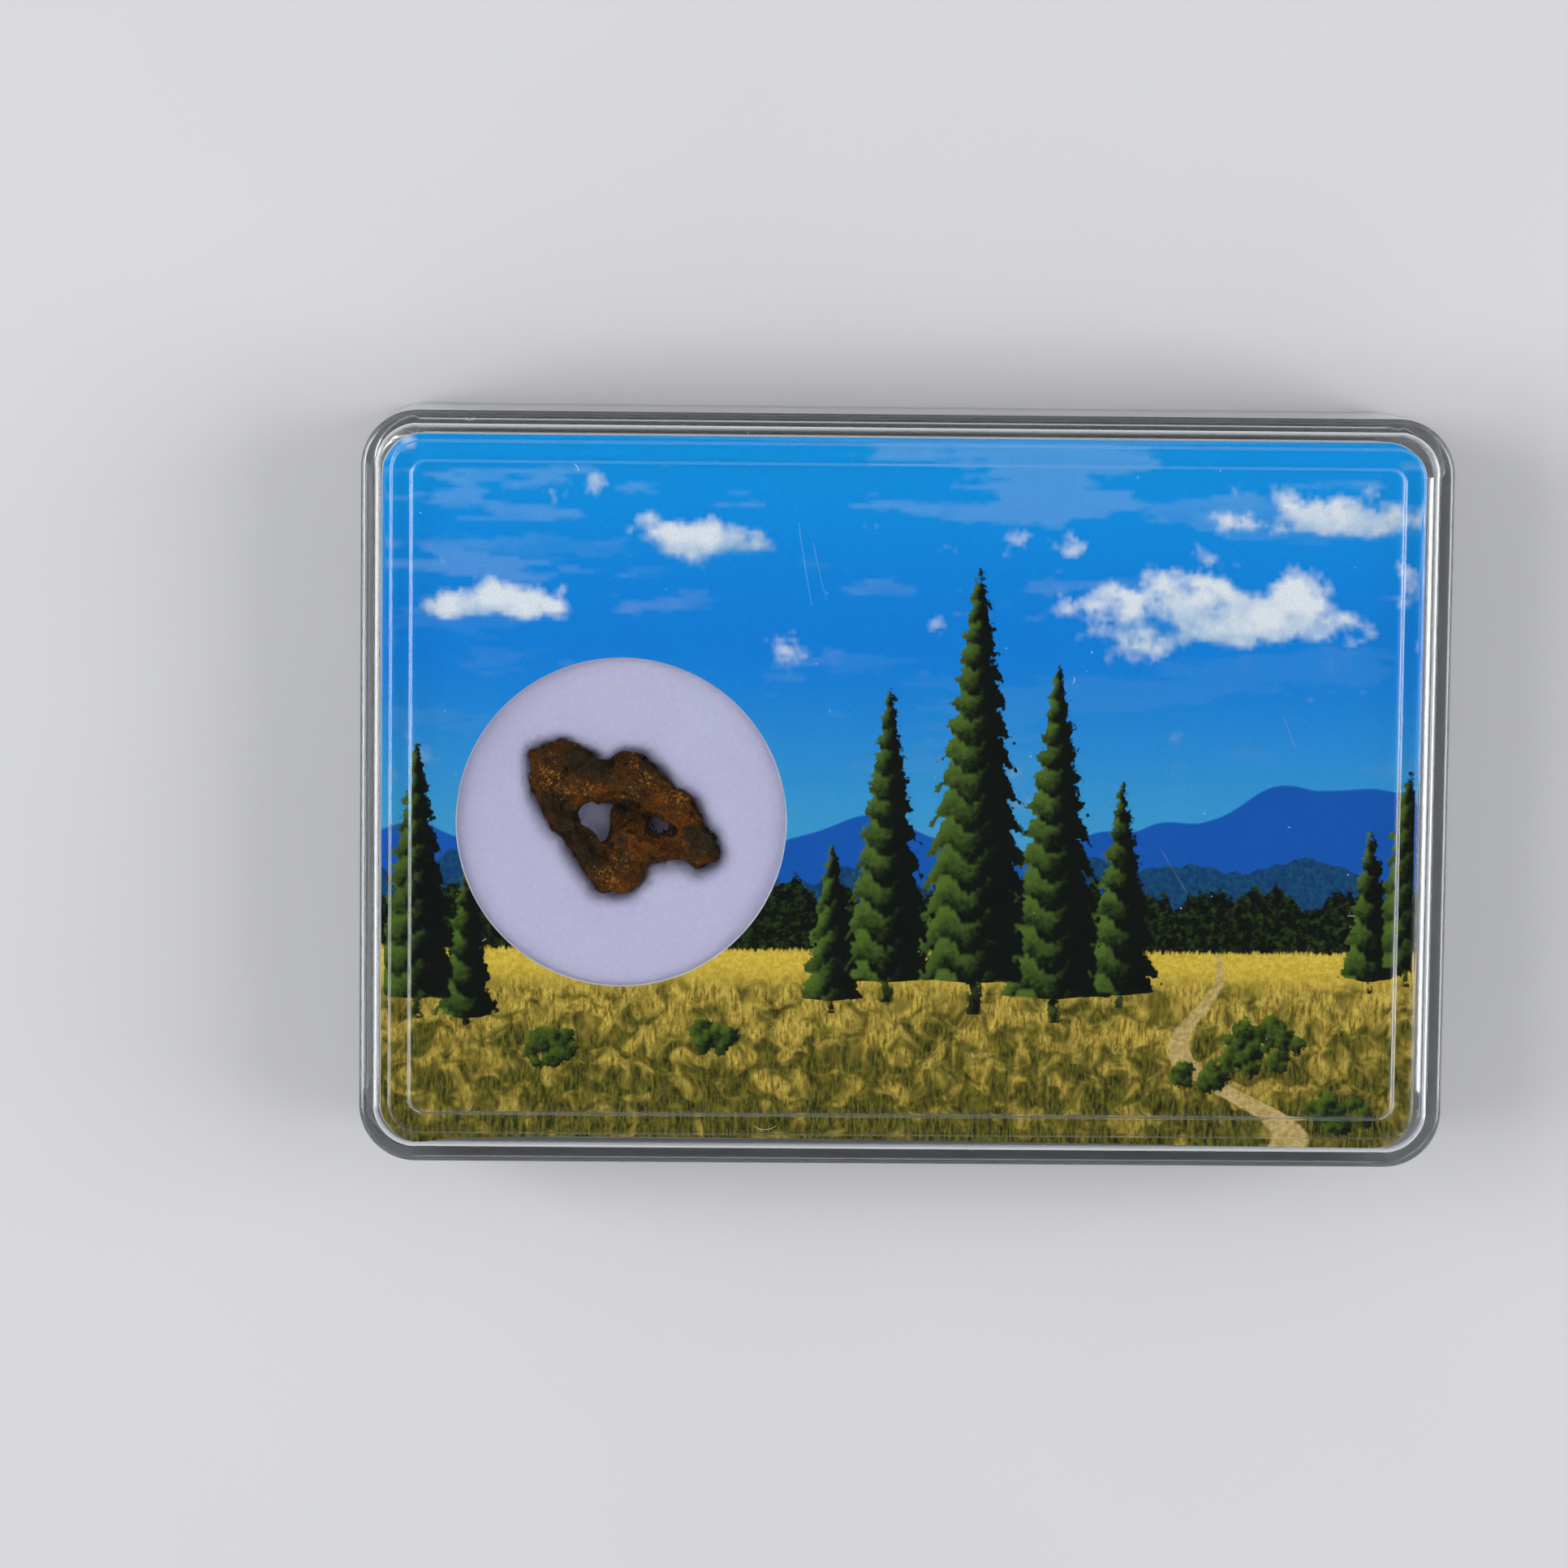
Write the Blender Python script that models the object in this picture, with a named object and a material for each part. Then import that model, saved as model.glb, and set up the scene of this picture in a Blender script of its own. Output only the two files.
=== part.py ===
# A skeletal pallasite meteorite fragment in a clear two-piece display box, lying flat on its back.
# Metres, +Z up through the lid, +X along the box's long side. The origin is the middle of the foot.

import math

import bmesh
import bpy
import numpy as np
from mathutils import Vector, noise

MM = 0.001

# Driving dimensions of the box
BOX_LENGTH = 82.55 * MM
BOX_WIDTH = 57.15 * MM
BOX_HEIGHT = 17.0 * MM
CORNER_RADIUS = 4.3 * MM
WALL = 1.0 * MM
EDGE_ROUND = 0.4 * MM
GAP = 0.3 * MM

# The stacking ridge on the lid, as insets from the box's side
RIDGE_OUTER_INSET = 2.3 * MM
RIDGE_INNER_INSET = 3.8 * MM
RIDGE_OUTER_RADIUS = 2.2 * MM
RIDGE_INNER_RADIUS = 1.1 * MM
RIDGE_HEIGHT = 0.6 * MM
RIDGE_SLOPE = 0.1 * MM

# The base: a foot ring, a flange that is flush with the lid, and a rim wall inside the lid
FOOT_WIDTH = 1.8 * MM
FOOT_DEPTH = 0.9 * MM
FLANGE_HEIGHT = 3.2 * MM
FLOOR = 1.2 * MM

# The printed card and its round window, seen from above
CARD_LENGTH = 79.0 * MM
CARD_WIDTH = 54.1 * MM
CARD_THICKNESS = 0.4 * MM
CARD_RADIUS = 3.2 * MM
CARD_SHIFT_X = -0.25 * MM
CARD_SHIFT_Y = -0.25 * MM
WINDOW_DIAMETER = 25.0 * MM
WINDOW_X = -21.5 * MM
WINDOW_Y = -2.6 * MM

# The pad, and the hollow that the specimen presses into it
PAD_CLEARANCE = 0.5 * MM
PAD_ROUND = 1.0 * MM
POCKET_CLEARANCE = 0.4 * MM

# Heights that follow from the ones above
LID_PLANE = BOX_HEIGHT - RIDGE_HEIGHT
CEILING = LID_PLANE - WALL
CARD_TOP = CEILING - GAP
CARD_BOTTOM = CARD_TOP - CARD_THICKNESS
RIM_TOP = CARD_BOTTOM - GAP
INSIDE_FLOOR = FOOT_DEPTH + FLOOR
PAD_BOTTOM = INSIDE_FLOOR + GAP
PAD_TOP = RIM_TOP

# The specimen's struts, in millimetres from its own middle: (x, y, height above mid plane, radius).
# Neighbours in a strut are joined by a tapered rod.
STRUTS = {
    "upper edge": [
        (-6.7, 4.95, 0.0, 0.75),
        (-5.6, 4.75, 0.1, 1.45),
        (-4.3, 4.95, 0.0, 1.5),
        (-2.3, 3.3, 0.2, 1.85),
    ],
    "left edge": [(-6.7, 4.95, 0.0, 0.75), (-6.1, 3.9, 0.0, 1.15), (-5.8, 3.0, 0.0, 1.35)],
    "left block": [
        (-5.6, 4.75, 0.1, 1.45),
        (-5.8, 3.0, 0.0, 1.35),
        (-4.0, 2.7, 0.1, 1.65),
        (-2.3, 3.3, 0.2, 1.85),
    ],
    "left corner": [(-4.0, 2.7, 0.1, 1.65), (-4.3, 1.5, -0.1, 1.4)],
    "arch": [
        (-4.3, 4.95, 0.0, 1.5),
        (-4.0, 2.7, 0.1, 1.65),
        (-2.3, 3.2, 0.2, 1.9),
        (-0.8, 3.1, 0.3, 1.85),
        (0.8, 3.55, 0.2, 2.05),
        (1.7, 2.7, 0.3, 2.0),
        (3.1, 1.7, 0.2, 1.55),
        (4.3, 1.2, 0.0, 1.5),
    ],
    "right strut": [
        (4.3, 1.2, 0.0, 1.5),
        (4.9, 0.3, -0.2, 1.35),
        (5.4, -0.9, -0.3, 1.4),
        (6.3, -2.2, -0.2, 1.4),
    ],
    "left strut": [
        (-5.8, 3.0, 0.0, 1.35),
        (-5.6, 2.1, -0.1, 1.25),
        (-4.6, 0.4, -0.4, 1.25),
        (-3.4, -0.9, -0.5, 1.2),
        (-2.3, -2.5, -0.5, 1.4),
        (-1.0, -4.2, -0.4, 1.4),
    ],
    "foot": [
        (-2.3, -2.5, -0.5, 1.4),
        (-0.8, -3.2, -0.5, 1.65),
        (0.2, -3.5, -0.4, 1.75),
        (-0.2, -4.6, -0.4, 1.2),
    ],
    "tongue": [
        (0.2, -3.5, -0.4, 1.75),
        (0.5, -2.2, -0.7, 1.75),
        (0.6, -0.6, -1.2, 1.7),
        (0.7, 0.8, -1.7, 1.6),
    ],
    "tongue root": [(0.7, 0.8, -1.7, 1.6), (0.7, 3.0, -0.9, 1.7)],
    "tongue side": [
        (0.5, -2.2, -0.7, 1.75),
        (1.2, -0.8, -1.4, 1.45),
        (1.1, 0.8, -1.7, 1.5),
        (2.0, 2.4, -0.9, 1.6),
    ],
    "bridge": [
        (0.5, -2.2, -0.7, 1.75),
        (2.3, -1.9, -0.8, 1.4),
        (3.7, -1.85, -0.7, 1.25),
        (5.0, -1.8, -0.4, 1.3),
    ],
    "right lobe": [(5.0, -1.8, -0.4, 1.3), (6.3, -2.2, -0.2, 1.4)],
}

# The specimen lies a little below the window's middle, as the card is read
SPECIMEN_SHIFT_Y = -0.3 * MM
SPECIMEN_TOP = CEILING - GAP

# The hollows that crystals left in the iron: how many, how far apart, their size and their depth
HOLLOWS = 26
HOLLOW_SPACING = 1.9 * MM
HOLLOW_RADII = (1.1 * MM, 1.9 * MM)
HOLLOW_DEPTHS = (0.18 * MM, 0.4 * MM)
HOLLOW_SEED = 11

# The lumps that rust leaves all over it
LUMP_SIZE = 1.3 * MM
LUMP_HEIGHT = 0.16 * MM
LUMP_SMOOTHNESS = 0.9
LUMP_LACUNARITY = 2.1
LUMP_OCTAVES = 3
LUMP_OFFSET = 0.6

# How finely everything is made
SPECIMEN_VOXEL = 0.2 * MM
SPECIMEN_FACES = 4600
JOINT_SMOOTHING = 0.5
JOINT_SMOOTHING_PASSES = 4
BALL_SUBDIVISIONS = 3
CORNER_STEPS = 6
EDGE_STEPS = 3
WINDOW_STEPS = 64
POCKET_STEPS = 12
SHARP_ANGLE = math.radians(35)


def clear_scene():
    for obj in list(bpy.data.objects):
        bpy.data.objects.remove(obj)


def material(name, colour, roughness, metallic=0.0, transmission=0.0):
    made = bpy.data.materials.new(name)
    made.use_nodes = True
    shader = made.node_tree.nodes["Principled BSDF"]
    shader.inputs["Base Color"].default_value = (*colour, 1.0)
    shader.inputs["Roughness"].default_value = roughness
    shader.inputs["Metallic"].default_value = metallic
    shader.inputs["Transmission Weight"].default_value = transmission
    return made


def make_object(name, mesh, surface):
    """An object with this mesh and material, with its faces turned outwards and its round faces smooth."""
    work = bmesh.new()
    work.from_mesh(mesh)
    bmesh.ops.recalc_face_normals(work, faces=work.faces)
    work.to_mesh(mesh)
    work.free()
    obj = bpy.data.objects.new(name, mesh)
    bpy.context.collection.objects.link(obj)
    if surface:
        mesh.materials.append(surface)
    mesh.shade_smooth()
    mesh.set_sharp_from_angle(angle=SHARP_ANGLE)
    return obj


def hide_cutter(obj):
    obj.hide_render = True
    obj.display_type = "WIRE"


def rounded_ring(work, length, width, radius, height, centre=(0.0, 0.0)):
    """The corner points of a rounded rectangle, anticlockwise from above."""
    ring = []
    for quarter in range(4):
        side_x = 1 if quarter in (0, 3) else -1
        side_y = 1 if quarter in (0, 1) else -1
        middle_x = centre[0] + side_x * (length / 2 - radius)
        middle_y = centre[1] + side_y * (width / 2 - radius)
        for step in range(CORNER_STEPS + 1):
            angle = math.pi / 2 * (quarter + step / CORNER_STEPS)
            place = (middle_x + radius * math.cos(angle), middle_y + radius * math.sin(angle), height)
            ring.append(work.verts.new(place))
    return ring


def lofted(name, rings, surface, centre=(0.0, 0.0)):
    """A closed, capped solid through rounded rectangles, each (length, width, radius, height)."""
    work = bmesh.new()
    loops = [rounded_ring(work, *ring, centre) for ring in rings]
    for lower, upper in zip(loops, loops[1:]):
        for i in range(len(lower)):
            j = (i + 1) % len(lower)
            work.faces.new((lower[i], lower[j], upper[j], upper[i]))
    work.faces.new(loops[0])
    work.faces.new(loops[-1])
    mesh = bpy.data.meshes.new(name)
    work.to_mesh(mesh)
    work.free()
    return make_object(name, mesh, surface)


def box_ring(inset, height, radius=None):
    """A ring this far inside the box's side. Its corners keep the same middles unless a radius is given."""
    if radius is None:
        radius = CORNER_RADIUS - inset
    return BOX_LENGTH - 2 * inset, BOX_WIDTH - 2 * inset, radius, height


def edge_rounding(height_of_side, height_of_face):
    """Rings of a small rounded outer edge, from the box's side to a flat face."""
    rise = height_of_face - height_of_side
    rings = []
    for step in range(EDGE_STEPS + 1):
        angle = math.pi / 2 * step / EDGE_STEPS
        inset = EDGE_ROUND * (1 - math.cos(angle))
        rings.append(box_ring(inset, height_of_side + rise * math.sin(angle)))
    return rings


def build_lid(surface):
    inside = CORNER_RADIUS - WALL
    ridge_top_outer = RIDGE_OUTER_INSET + RIDGE_SLOPE
    ridge_top_inner = RIDGE_INNER_INSET - RIDGE_SLOPE
    rings = [
        box_ring(WALL, CEILING, inside),
        box_ring(WALL, FLANGE_HEIGHT + GAP, inside),
        box_ring(0.0, FLANGE_HEIGHT + GAP),
        *edge_rounding(LID_PLANE - EDGE_ROUND, LID_PLANE),
        box_ring(RIDGE_OUTER_INSET, LID_PLANE, RIDGE_OUTER_RADIUS),
        box_ring(ridge_top_outer, BOX_HEIGHT, RIDGE_OUTER_RADIUS - RIDGE_SLOPE),
        box_ring(ridge_top_inner, BOX_HEIGHT, RIDGE_INNER_RADIUS + RIDGE_SLOPE),
        box_ring(RIDGE_INNER_INSET, LID_PLANE, RIDGE_INNER_RADIUS),
    ]
    return lofted("lid", rings, surface)


def build_base(surface):
    rim_outer = WALL + GAP
    rim_inner = rim_outer + WALL
    foot_inner = EDGE_ROUND + FOOT_WIDTH
    rings = [
        box_ring(foot_inner, FOOT_DEPTH),
        box_ring(foot_inner, 0.0),
        *reversed(edge_rounding(EDGE_ROUND, 0.0)),
        box_ring(0.0, FLANGE_HEIGHT),
        box_ring(rim_outer, FLANGE_HEIGHT),
        box_ring(rim_outer, RIM_TOP),
        box_ring(rim_inner, RIM_TOP),
        box_ring(rim_inner, INSIDE_FLOOR),
    ]
    return lofted("base", rings, surface)


def build_card(surface):
    size = (CARD_LENGTH, CARD_WIDTH, CARD_RADIUS)
    card = lofted("card", [(*size, CARD_BOTTOM), (*size, CARD_TOP)], surface, (CARD_SHIFT_X, CARD_SHIFT_Y))
    work = bmesh.new()
    bmesh.ops.create_cone(
        work,
        cap_ends=True,
        segments=WINDOW_STEPS,
        radius1=WINDOW_DIAMETER / 2,
        radius2=WINDOW_DIAMETER / 2,
        depth=2 * CARD_THICKNESS,
    )
    mesh = bpy.data.meshes.new("window cutter")
    work.to_mesh(mesh)
    work.free()
    window = make_object("window cutter", mesh, None)
    window.location = (WINDOW_X, WINDOW_Y, CARD_TOP - CARD_THICKNESS / 2)
    hide_cutter(window)
    cut = card.modifiers.new("window", "BOOLEAN")
    cut.operation = "DIFFERENCE"
    cut.object = window
    return card


def keep_hull(work):
    """Leaves only the convex hull of the points."""
    for face in list(work.faces):
        work.faces.remove(face)
    for edge in list(work.edges):
        work.edges.remove(edge)
    hull = bmesh.ops.convex_hull(work, input=work.verts)
    spare = set(hull["geom_interior"]) | set(hull["geom_unused"])
    points = [item for item in spare if isinstance(item, bmesh.types.BMVert)]
    bmesh.ops.delete(work, geom=points, context="VERTS")


def strut_points():
    """Each strut's points as (place, radius), in metres, with the specimen's top at z = 0."""
    highest = max(z + radius for points in STRUTS.values() for _, _, z, radius in points)
    return {
        name: [(Vector((x * MM, y * MM, (z - highest) * MM)), radius * MM) for x, y, z, radius in points]
        for name, points in STRUTS.items()
    }


def build_pad(surface):
    """The cushion, with a plain hollow a little wider and deeper than the specimen."""
    inset = 2 * WALL + GAP + PAD_CLEARANCE
    rings = [
        box_ring(inset + PAD_ROUND, PAD_BOTTOM, CORNER_RADIUS - inset),
        box_ring(inset, PAD_BOTTOM + PAD_ROUND, CORNER_RADIUS - inset),
        box_ring(inset, PAD_TOP - PAD_ROUND, CORNER_RADIUS - inset),
        box_ring(inset + PAD_ROUND, PAD_TOP, CORNER_RADIUS - inset),
    ]
    pad = lofted("pad", rings, surface)

    work = bmesh.new()
    points = [point for strut in strut_points().values() for point in strut]
    bottom = min(place.z - radius for place, radius in points) - POCKET_CLEARANCE
    for place, radius in points:
        reach = radius + POCKET_CLEARANCE
        for step in range(POCKET_STEPS):
            angle = 2 * math.pi * step / POCKET_STEPS
            x = place.x + reach * math.cos(angle)
            y = place.y + reach * math.sin(angle)
            work.verts.new((x, y, bottom))
            work.verts.new((x, y, 0.0))
    keep_hull(work)
    mesh = bpy.data.meshes.new("pocket cutter")
    work.to_mesh(mesh)
    work.free()
    pocket = make_object("pocket cutter", mesh, None)
    pocket.location = (WINDOW_X, WINDOW_Y + SPECIMEN_SHIFT_Y, SPECIMEN_TOP)
    hide_cutter(pocket)
    cut = pad.modifiers.new("pocket", "BOOLEAN")
    cut.operation = "DIFFERENCE"
    cut.object = pocket
    return pad


def add_tapered_rod(work, start, end):
    """The hull of two balls, which is a rod with round ends."""
    rod = bmesh.new()
    for place, radius in (start, end):
        made = bmesh.ops.create_icosphere(rod, subdivisions=BALL_SUBDIVISIONS, radius=radius)
        bmesh.ops.translate(rod, verts=made["verts"], vec=place)
    keep_hull(rod)
    mesh = bpy.data.meshes.new("rod")
    rod.to_mesh(mesh)
    rod.free()
    work.from_mesh(mesh)
    bpy.data.meshes.remove(mesh)


def evaluated_mesh(obj):
    """A new mesh with the object's modifiers applied. The object itself is removed."""
    graph = bpy.context.evaluated_depsgraph_get()
    mesh = bpy.data.meshes.new_from_object(obj.evaluated_get(graph))
    bpy.data.objects.remove(obj)
    return mesh


def vertex_arrays(mesh):
    places = np.empty(len(mesh.vertices) * 3)
    normals = np.empty(len(mesh.vertices) * 3)
    mesh.vertices.foreach_get("co", places)
    mesh.vertices.foreach_get("normal", normals)
    return places.reshape(-1, 3), normals.reshape(-1, 3)


def raise_lumps(mesh):
    """Makes the iron lumpy and ridged, as rust leaves it."""
    places, normals = vertex_arrays(mesh)
    look = (LUMP_SMOOTHNESS, LUMP_LACUNARITY, LUMP_OCTAVES, LUMP_OFFSET)
    heights = [noise.hetero_terrain(Vector(place / LUMP_SIZE), *look) for place in places]
    heights = np.array(heights) - np.mean(heights)
    places += normals * np.clip(heights, -1.0, 1.0)[:, None] * LUMP_HEIGHT
    mesh.vertices.foreach_set("co", places.ravel())
    mesh.update()


def press_hollows(mesh):
    """Presses shallow round hollows, spread evenly over the iron, each with a crisp rim."""
    places, normals = vertex_arrays(mesh)
    random = np.random.default_rng(HOLLOW_SEED)
    order = random.permutation(len(places))
    centres = []
    for index in order:
        apart = [np.linalg.norm(places[index] - places[other]) for other in centres]
        if not apart or min(apart) > HOLLOW_SPACING:
            centres.append(index)
        if len(centres) == HOLLOWS:
            break
    for index in centres:
        radius = random.uniform(*HOLLOW_RADII)
        depth = random.uniform(*HOLLOW_DEPTHS)
        centre = places[index] + normals[index] * (radius - depth)
        away = places - centre
        distance = np.linalg.norm(away, axis=1)
        inside = distance < radius
        places[inside] = centre + away[inside] * (radius / distance[inside])[:, None]
    places[:, 2] = np.minimum(places[:, 2], 0.0)
    mesh.vertices.foreach_set("co", places.ravel())
    mesh.update()


def build_meteorite(surface):
    """Struts of iron round open holes, grown together into one body."""
    work = bmesh.new()
    for points in strut_points().values():
        for start, end in zip(points, points[1:]):
            add_tapered_rod(work, start, end)
    mesh = bpy.data.meshes.new("struts")
    work.to_mesh(mesh)
    work.free()
    struts = make_object("struts", mesh, None)
    remesh = struts.modifiers.new("one body", "REMESH")
    remesh.mode = "VOXEL"
    remesh.voxel_size = SPECIMEN_VOXEL
    smooth = struts.modifiers.new("soft joints", "SMOOTH")
    smooth.factor = JOINT_SMOOTHING
    smooth.iterations = JOINT_SMOOTHING_PASSES
    mesh = evaluated_mesh(struts)
    raise_lumps(mesh)
    press_hollows(mesh)

    meteorite = make_object("meteorite", mesh, surface)
    meteorite.location = (WINDOW_X, WINDOW_Y + SPECIMEN_SHIFT_Y, SPECIMEN_TOP)
    mesh.calc_loop_triangles()
    fewer = meteorite.modifiers.new("fewer faces", "DECIMATE")
    fewer.ratio = SPECIMEN_FACES / len(mesh.loop_triangles)
    fewer.use_collapse_triangulate = True
    return meteorite


def main():
    clear_scene()
    clear_plastic = material("clear plastic", (0.93, 0.95, 0.96), 0.05, transmission=1.0)
    build_lid(clear_plastic)
    build_base(clear_plastic)
    build_card(material("printed card", (0.03, 0.35, 0.8), 0.4))
    build_pad(material("white felt", (0.62, 0.61, 0.74), 0.95))
    build_meteorite(material("rusty iron", (0.16, 0.08, 0.04), 0.6, metallic=0.5))


main()
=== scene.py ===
import math

import bmesh
import bpy
import numpy as np
from mathutils import Matrix, Vector, noise
from mathutils.bvhtree import BVHTree
from mathutils.geometry import delaunay_2d_cdt


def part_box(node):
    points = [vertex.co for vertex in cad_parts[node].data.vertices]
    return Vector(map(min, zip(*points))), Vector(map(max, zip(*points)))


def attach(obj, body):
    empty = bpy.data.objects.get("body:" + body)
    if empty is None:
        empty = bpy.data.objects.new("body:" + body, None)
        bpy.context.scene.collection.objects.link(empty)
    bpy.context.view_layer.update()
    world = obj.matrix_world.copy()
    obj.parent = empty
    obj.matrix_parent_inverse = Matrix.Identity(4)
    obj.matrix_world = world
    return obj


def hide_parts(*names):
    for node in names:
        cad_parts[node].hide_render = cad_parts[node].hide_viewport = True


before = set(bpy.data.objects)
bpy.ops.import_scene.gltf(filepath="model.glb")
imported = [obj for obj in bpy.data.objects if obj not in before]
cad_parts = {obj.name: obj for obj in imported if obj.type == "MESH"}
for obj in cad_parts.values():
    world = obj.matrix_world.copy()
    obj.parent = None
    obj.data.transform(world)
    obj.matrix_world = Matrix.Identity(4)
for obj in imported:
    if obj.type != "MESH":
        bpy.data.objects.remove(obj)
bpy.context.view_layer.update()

MM = 0.001

# Places from the frame
LID_LOW, LID_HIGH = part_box("lid")
BASE_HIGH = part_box("base")[1]
CARD_LOW, CARD_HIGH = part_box("card")
PAD_LOW, PAD_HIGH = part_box("pad")
SPECIMEN_LOW, SPECIMEN_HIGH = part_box("meteorite")
LENGTH = LID_HIGH[0] - LID_LOW[0]
WIDTH = LID_HIGH[1] - LID_LOW[1]
TOP = LID_HIGH[2]

# Sizes of the box, as in the solids
CORNER_RADIUS = 4.3 * MM
WALL = 1.0 * MM
GAP = 0.3 * MM
EDGE_ROUND = 0.4 * MM
RIDGE_OUTER_INSET = 2.3 * MM
RIDGE_INNER_INSET = 3.8 * MM
RIDGE_OUTER_RADIUS = 2.2 * MM
RIDGE_INNER_RADIUS = 1.1 * MM
RIDGE_HEIGHT = 0.6 * MM
FOOT_WIDTH = 1.8 * MM
FOOT_DEPTH = 0.9 * MM
FLOOR_THICKNESS = 1.2 * MM
FLANGE_HEIGHT = LID_LOW[2] - GAP
LID_PLANE = TOP - RIDGE_HEIGHT
CEILING = LID_PLANE - WALL
CARD_RADIUS = 3.2 * MM
WINDOW_RADIUS = 12.5 * MM
WINDOW = Vector((-21.5 * MM, -2.6 * MM, CARD_HIGH[2]))
SPECIMEN = WINDOW + Vector((0, -0.3 * MM, 0))

# The photograph's view: the image's size in pixels, the box's middle in it, and the lid plane's scale
IMAGE = 1932
BOX_MIDDLE_PX = (1115.5, 976.0)
LID_PX_PER_MM = 16.26
CAMERA_DISTANCE = 0.420
LEAN_TO_TOP = math.radians(5.9)
LEAN_TO_LEFT = math.radians(1.4)
ROLL = math.radians(0.62)
SENSOR_MM = 36.0

CORNER_STEPS = 20


def linear(red, green, blue):
    """A colour from its 8-bit screen values, by the curve of sRGB."""
    screen = [value / 255 for value in (red, green, blue)]
    return tuple(((s + 0.055) / 1.055) ** 2.4 if s > 0.04045 else s / 12.92 for s in screen)


# Material nodes, written as ordinary arithmetic


class Field:
    """A number that a material works out at each point of a surface."""

    def __init__(self, tree, socket):
        self.tree = tree
        self.socket = socket

    def math(self, operation, *others, clamp=False):
        """The field after one step of arithmetic, with numbers or other fields."""
        node = self.tree.nodes.new("ShaderNodeMath")
        node.operation = operation
        node.use_clamp = clamp
        for socket, value in zip(node.inputs, (self, *others)):
            feed(self.tree, socket, value)
        return Field(self.tree, node.outputs[0])

    def __add__(self, other):
        return self.math("ADD", other)

    def __sub__(self, other):
        return self.math("SUBTRACT", other)

    def __mul__(self, other):
        return self.math("MULTIPLY", other)

    def __truediv__(self, other):
        return self.math("DIVIDE", other)

    def clamped(self):
        """The field kept between 0 and 1."""
        return self.math("ADD", 0.0, clamp=True)

    def step(self, low, high):
        """0 below low, 1 above high, and smooth between them. high below low turns it round."""
        node = self.tree.nodes.new("ShaderNodeMapRange")
        node.interpolation_type = "SMOOTHSTEP"
        feed(self.tree, node.inputs["Value"], self)
        turned = high < low
        node.inputs["From Min"].default_value = min(low, high)
        node.inputs["From Max"].default_value = max(low, high)
        node.inputs["To Min"].default_value = float(turned)
        node.inputs["To Max"].default_value = float(not turned)
        return Field(self.tree, node.outputs["Result"])


def feed(tree, socket, value):
    """Puts a number, a colour or another field into a socket."""
    if isinstance(value, Field):
        tree.links.new(value.socket, socket)
    elif isinstance(value, bpy.types.NodeSocket):
        tree.links.new(value, socket)
    elif isinstance(value, tuple) and len(value) == 3 and socket.type == "RGBA":
        socket.default_value = (*value, 1.0)
    else:
        socket.default_value = value


def place_in_mm(tree):
    """(x, y, z) fields of the point in the piece's own millimetres, and the same as one vector."""
    place = tree.nodes.new("ShaderNodeTexCoord").outputs["Object"]
    scaled = tree.nodes.new("ShaderNodeVectorMath")
    scaled.operation = "SCALE"
    scaled.inputs["Scale"].default_value = 1 / MM
    tree.links.new(place, scaled.inputs[0])
    parts = tree.nodes.new("ShaderNodeSeparateXYZ")
    tree.links.new(scaled.outputs[0], parts.inputs[0])
    return [Field(tree, socket) for socket in parts.outputs], scaled.outputs[0]


def combined(tree, x, y, z=0.0):
    """One vector from three fields or numbers."""
    node = tree.nodes.new("ShaderNodeCombineXYZ")
    for socket, value in zip(node.inputs, (x, y, z)):
        feed(tree, socket, value)
    return node.outputs[0]


def noise_field(tree, vector, scale, detail=3.0, roughness=0.55, distortion=0.0):
    """Cloudy noise round 0.5."""
    node = tree.nodes.new("ShaderNodeTexNoise")
    tree.links.new(vector, node.inputs["Vector"])
    node.inputs["Scale"].default_value = scale
    node.inputs["Detail"].default_value = detail
    node.inputs["Roughness"].default_value = roughness
    node.inputs["Distortion"].default_value = distortion
    return Field(tree, node.outputs["Fac"])


def attribute_field(tree, name):
    """What the mesh holds under this name at each vertex."""
    node = tree.nodes.new("ShaderNodeAttribute")
    node.attribute_name = name
    return Field(tree, node.outputs["Fac"])


def mixed(tree, share, first, second):
    """first where share is 0, second where it is 1. Both are colours."""
    node = tree.nodes.new("ShaderNodeMix")
    node.data_type = "RGBA"
    feed(tree, node.inputs["Factor"], share)
    feed(tree, node.inputs[6], first)
    feed(tree, node.inputs[7], second)
    return node.outputs[2]


def shaded(tree, colour, lightness):
    """The colour made lighter or darker by this factor."""
    node = tree.nodes.new("ShaderNodeHueSaturation")
    feed(tree, node.inputs["Value"], lightness)
    feed(tree, node.inputs["Color"], colour)
    return node.outputs[0]


def bumped(tree, shader, height, depth_mm, strength=1.0):
    """Lets the height field tilt the surface's shading."""
    node = tree.nodes.new("ShaderNodeBump")
    node.inputs["Strength"].default_value = strength
    node.inputs["Distance"].default_value = depth_mm * MM
    tree.links.new(height.socket, node.inputs["Height"])
    tree.links.new(node.outputs[0], shader.inputs["Normal"])


def new_material(name, **values):
    """(material, its tree, its Principled shader), with plain values set on the shader's own sockets."""
    made = bpy.data.materials.new(name)
    made.use_nodes = True
    tree = made.node_tree
    shader = tree.nodes["Principled BSDF"]
    for socket, value in values.items():
        feed(tree, shader.inputs[socket.replace("_", " ")], value)
    return made, tree, shader


# Mesh helpers


def piece(name, mesh, *surfaces):
    """A new object of the scene, with these surfaces."""
    obj = bpy.data.objects.new(name, mesh)
    bpy.context.scene.collection.objects.link(obj)
    for surface in surfaces:
        mesh.materials.append(surface)
    return obj


def finished(obj, slot, *nodes):
    """Rides on the box and stands for these solids, which it hides. The slot is not used."""
    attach(obj, "root")
    if nodes:
        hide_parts(*nodes)
    return obj


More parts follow.
